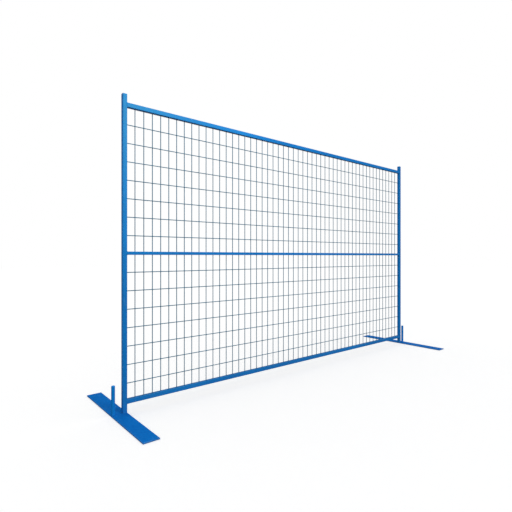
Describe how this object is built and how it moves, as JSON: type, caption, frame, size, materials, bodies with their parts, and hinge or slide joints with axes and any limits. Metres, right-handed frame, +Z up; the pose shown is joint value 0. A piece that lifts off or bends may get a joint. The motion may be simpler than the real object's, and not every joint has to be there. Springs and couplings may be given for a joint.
{
  "type": "temporary fence panel",
  "caption": "Free-standing site fence panel: a welded square tube frame with a middle rail and wire mesh infill, held upright by two flat steel feet with pins that reach into its posts.",
  "frame": {"origin": "on the ground, under the middle of the panel", "axes": "+X along the panel to the right, +Y to the back of the panel where the mesh sits behind the middle rail, +Z up"},
  "size_m": [3.0264, 0.845, 1.807],
  "materials": {
    "frame_paint": "semi-gloss blue powder coat",
    "mesh_wire": "dark petrol blue powder coat",
    "foot_paint": "semi-gloss blue powder coat"
  },
  "bodies": {
    "left_foot": {"left_foot_plate": "foot_paint", "left_free_pin": "foot_paint"},
    "left_pin": {"left_socket_pin": "foot_paint"},
    "panel": {"left_post": "frame_paint", "right_post": "frame_paint", "top_rail": "frame_paint", "mid_rail": "frame_paint", "bottom_rail": "frame_paint", "cross_wire_01": "mesh_wire", "cross_wire_02": "mesh_wire", "cross_wire_03": "mesh_wire", "cross_wire_04": "mesh_wire", "cross_wire_05": "mesh_wire", "cross_wire_06": "mesh_wire", "cross_wire_07": "mesh_wire", "cross_wire_08": "mesh_wire", "cross_wire_09": "mesh_wire", "cross_wire_10": "mesh_wire", "cross_wire_11": "mesh_wire", "cross_wire_12": "mesh_wire", "cross_wire_13": "mesh_wire", "cross_wire_14": "mesh_wire", "upright_wires_1": "mesh_wire", "upright_wires_2": "mesh_wire", "upright_wires_3": "mesh_wire", "upright_wires_4": "mesh_wire"},
    "right_pin": {"right_socket_pin": "foot_paint"},
    "right_foot": {"right_foot_plate": "foot_paint", "right_free_pin": "foot_paint"}
  },
  "joints": [
    {"name": "left_foot_swivel", "type": "hinge", "parent": "left_foot", "child": "left_pin", "pos_m": [-1.4373, 0, 0.007], "axis": [0, 0, 1], "range_deg": [-155, 155]},
    {"name": "panel_lift", "type": "slide", "parent": "left_pin", "child": "panel", "axis": [0, 0, 1], "range_m": [0, 0.17]},
    {"name": "right_pin_draw", "type": "slide", "parent": "panel", "child": "right_pin", "axis": [0, 0, -1], "range_m": [0, 0.17]},
    {"name": "right_foot_swivel", "type": "hinge", "parent": "right_pin", "child": "right_foot", "pos_m": [1.4373, 0, 0.007], "axis": [0, 0, 1], "range_deg": [-155, 155]}
  ],
  "couplings": [
    {"joint": "right_pin_draw", "follows": "panel_lift", "ratio": 1}
  ]
}
